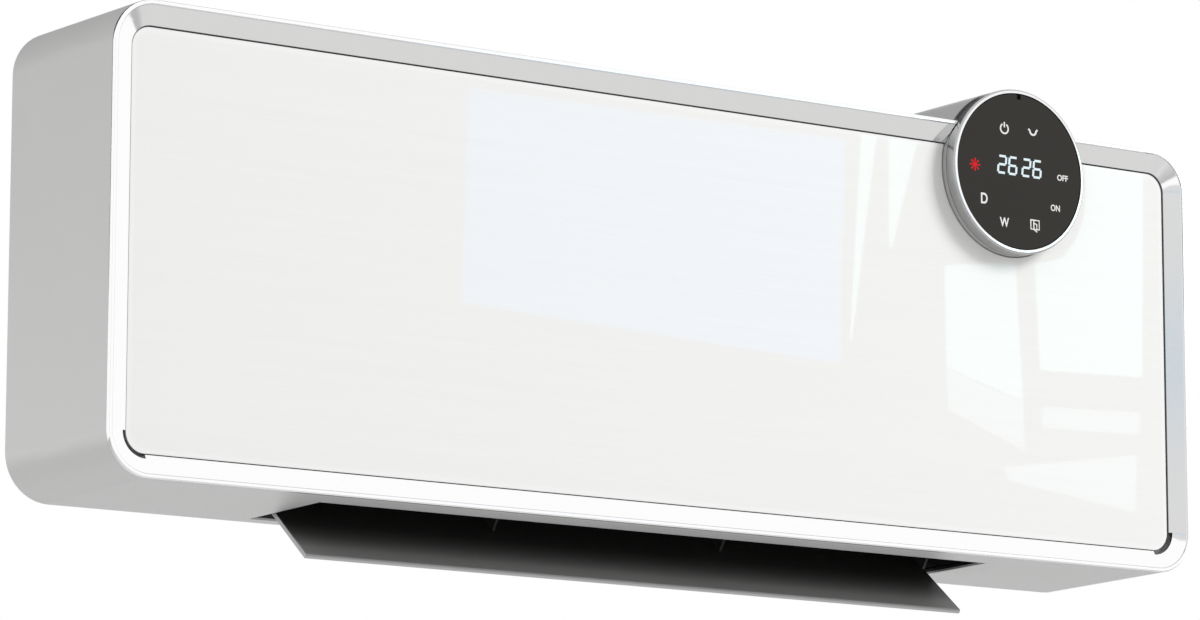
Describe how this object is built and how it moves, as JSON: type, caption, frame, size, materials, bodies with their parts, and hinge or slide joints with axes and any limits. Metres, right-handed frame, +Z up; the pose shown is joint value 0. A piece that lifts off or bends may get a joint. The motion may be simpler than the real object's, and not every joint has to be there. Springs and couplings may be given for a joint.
{
  "type": "wall fan heater",
  "caption": "Long wall-hung bathroom fan heater with a glass front, a round control with a turning ring and a swinging outlet flap underneath.",
  "frame": {"origin": "on the wall plane, behind the middle of the case", "axes": "+X to the right seen from the front, +Y into the wall, +Z up; the front faces -Y"},
  "size_m": [0.6027, 0.0919, 0.2477],
  "materials": {
    "shell_silver": "satin paint",
    "bezel_silver": "polished silver plating",
    "front_glass": "clear glass over a brushed off-white sheet",
    "inner_grey": "moulded",
    "zinc_steel": "zinc plated",
    "duct_black": "moulded",
    "flap_black": "fine satin",
    "wheel_black": "moulded",
    "motor_metal": "zinc plated",
    "steel": "ground",
    "rubber_black": "moulded",
    "bronze": "sintered",
    "heater_plastic": "heat resisting",
    "fin_aluminium": "bright",
    "control_silver": "satin paint",
    "ring_chrome": "polished",
    "control_glass": "dark printed glass",
    "magnet_grey": "plain",
    "board_green": "circuit board",
    "switch_black": "gloss",
    "relay_blue": "plain",
    "filter_grey": "plain"
  },
  "bodies": {
    "case": {"body_shell": "shell_silver", "bezel_frame": "bezel_silver", "glass_panel": "front_glass", "front_carrier": "inner_grey", "rear_case": "shell_silver", "case_screws": "steel", "wall_bracket": "zinc_steel", "intake_grille": "shell_silver", "dust_filter": "filter_grey", "air_scroll": "duct_black", "tongue_guide": "duct_black", "duct_end_left": "duct_black", "duct_end_right": "duct_black", "outlet_guard": "duct_black", "flap_pins": "steel", "flap_motor": "motor_metal", "bearing_boot": "rubber_black", "fan_bush": "bronze", "fan_motor": "motor_metal", "motor_mounts": "rubber_black", "motor_screws": "steel", "heater_frame": "heater_plastic", "heating_bars": "fin_aluminium", "heating_fins": "fin_aluminium", "thermal_cutout": "inner_grey", "control_housing": "control_silver", "control_core": "inner_grey", "control_glass": "control_glass", "display_board": "board_green", "digit_display": "switch_black", "touch_springs": "bronze", "remote_receiver": "switch_black", "switch_housing": "switch_black", "cable_bush": "switch_black", "cable_nut": "switch_black", "control_board": "board_green", "board_screws": "steel", "relays": "relay_blue", "transformer": "motor_metal", "terminal_block": "heater_plastic", "capacitors": "inner_grey"},
    "flap": {"outlet_flap": "flap_black", "flap_drive_shaft": "steel"},
    "fan": {"fan_wheel": "wheel_black", "motor_shaft": "steel", "stub_axle": "steel"},
    "setting_ring": {"control_ring": "ring_chrome", "ring_magnet": "magnet_grey"},
    "power_rocker": {"switch_rocker": "switch_black"}
  },
  "joints": [
    {"name": "flap_swing", "type": "hinge", "parent": "case", "child": "flap", "pos_m": [0.00275, -0.0273, -0.0933], "axis": [1, 0, 0], "range_deg": [-39.65, 35]},
    {"name": "fan_spin", "type": "hinge", "parent": "case", "child": "fan", "pos_m": [0, -0.043, 0.022], "axis": [1, 0, 0], "continuous": true},
    {"name": "ring_turn", "type": "hinge", "parent": "case", "child": "setting_ring", "pos_m": [0.1919, -0.0885, 0.08185], "axis": [0, -1, 0], "continuous": true},
    {"name": "rocker_tip", "type": "hinge", "parent": "case", "child": "power_rocker", "pos_m": [0.2972, -0.046, -0.038], "axis": [0, 1, 0], "range_deg": [-18, 0]}
  ]
}
